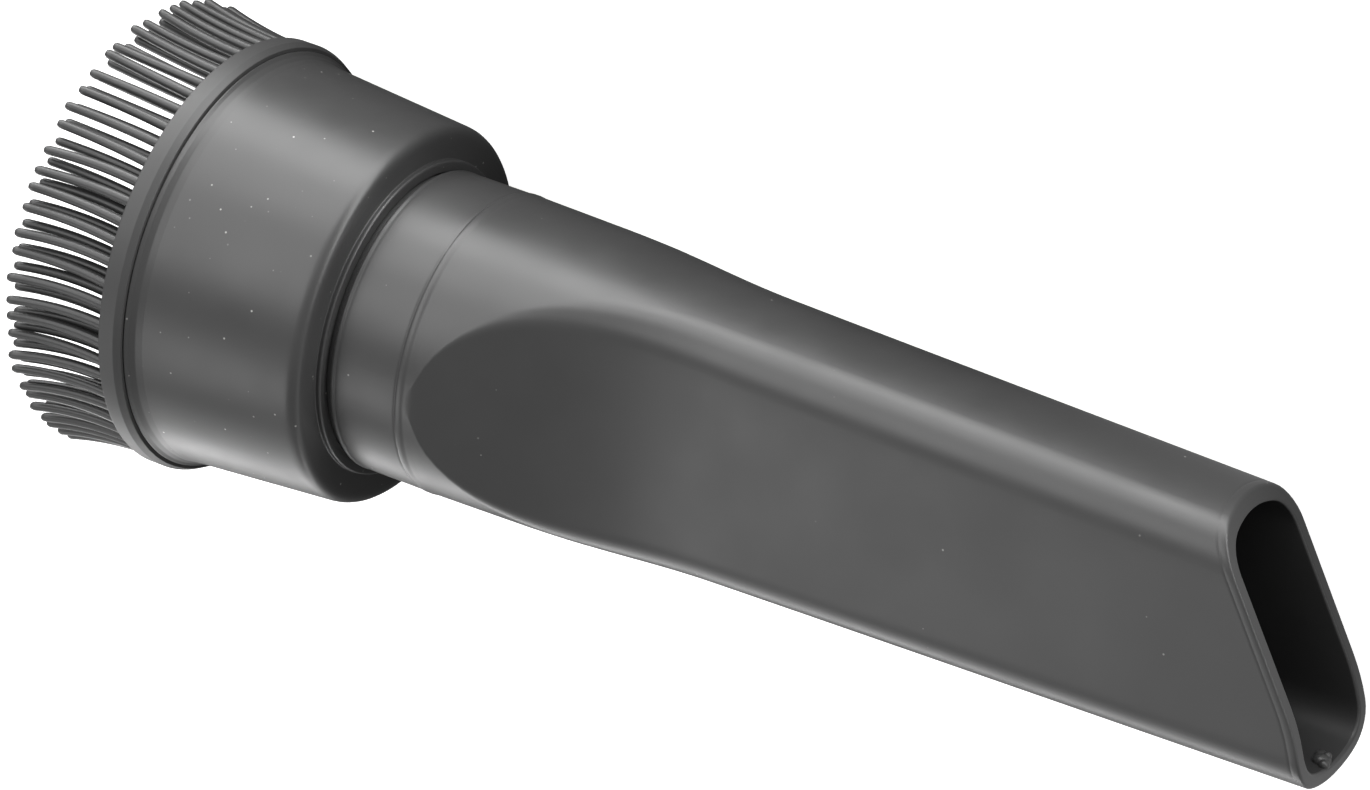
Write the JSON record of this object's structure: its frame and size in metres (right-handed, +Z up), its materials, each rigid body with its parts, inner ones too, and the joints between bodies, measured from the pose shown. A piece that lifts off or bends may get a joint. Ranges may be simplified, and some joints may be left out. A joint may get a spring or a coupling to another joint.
{
  "type": "vacuum crevice tool",
  "caption": "Flattened crevice nozzle with a slanted open tip, a round neck and a slide-on collar with a ring of soft bristles around the wand socket.",
  "frame": {"origin": "centre of the wand socket's mouth, on the tool's own axis", "axes": "+X from the socket towards the slanted tip, +Z up with the tool lying on the rim of its brush collar and the lower edge of its mouth, +Y towards the short side of the tip; the tool's own axis dips 7.4 degrees below +X"},
  "size_m": [0.1732, 0.0562, 0.0575],
  "materials": {
    "nozzle_plastic": "semi-matte, fine moulded grain",
    "brush_plastic": "semi-matte, fine moulded grain",
    "bristle_rubber": "matte, soft"
  },
  "bodies": {
    "root": {"crevice_nozzle": "nozzle_plastic", "brush_body": "brush_plastic", "bristle_ring": "bristle_rubber"}
  },
  "joints": []
}
